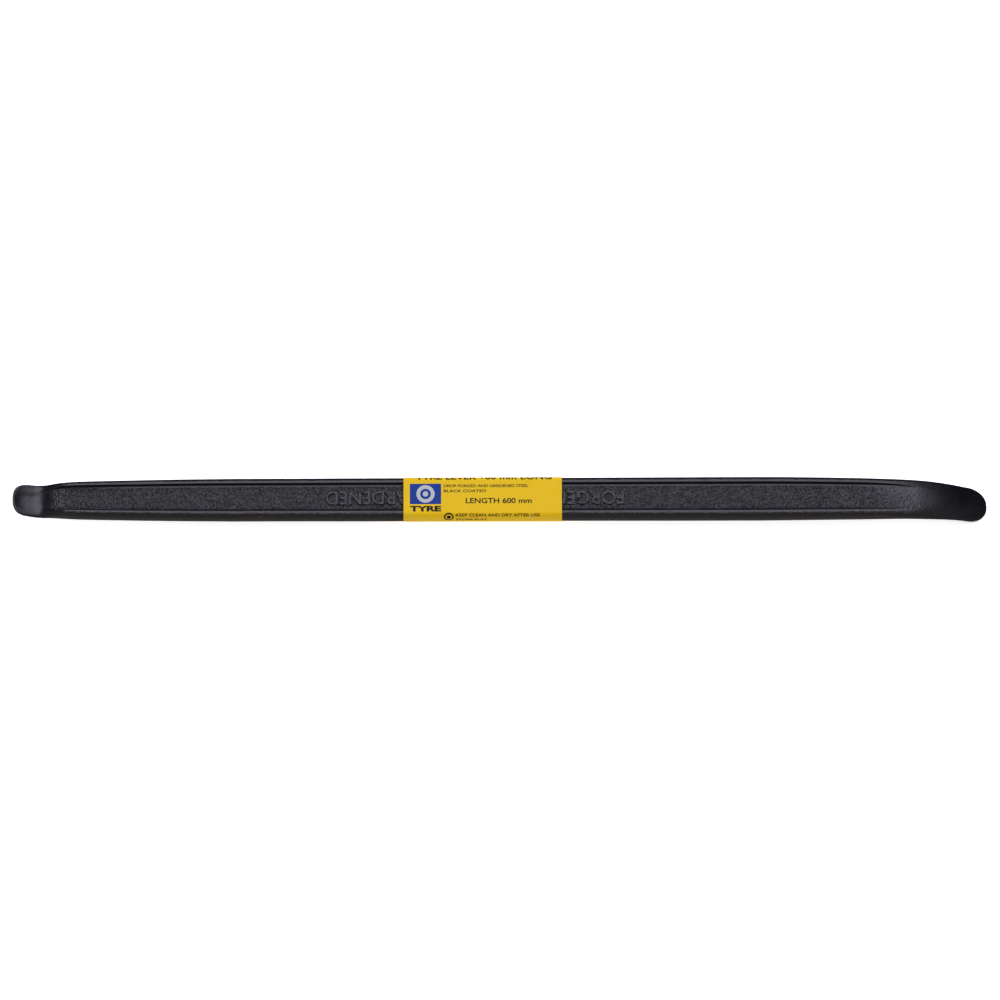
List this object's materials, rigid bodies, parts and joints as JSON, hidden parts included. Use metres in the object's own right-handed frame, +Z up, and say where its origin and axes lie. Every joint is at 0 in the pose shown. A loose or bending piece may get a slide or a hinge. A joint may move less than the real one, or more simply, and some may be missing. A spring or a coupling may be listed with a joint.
{
  "type": "tyre lever",
  "caption": "One-piece forged tyre lever: flanged shaft recessed on both faces, a scoop at one end, a hooked spoon at the other and a printed wrap label.",
  "frame": {"origin": "on the surface that the lever lies on, under the middle of its overall length and width, with the shaft level and the lettered face up", "axes": "+X along the lever from the scooped end to the hooked end, +Y across the broad face, +Z up out of the lettered face"},
  "size_m": [0.6, 0.0274, 0.0305],
  "materials": {
    "black_coated_steel": "semi-gloss black coating over forged steel, grainy on the recess floors, with brighter worn edges",
    "printed_film": "yellow printed film with a soft sheen"
  },
  "bodies": {
    "root": {"lever_forging": "black_coated_steel", "label_film": "printed_film"}
  },
  "joints": []
}
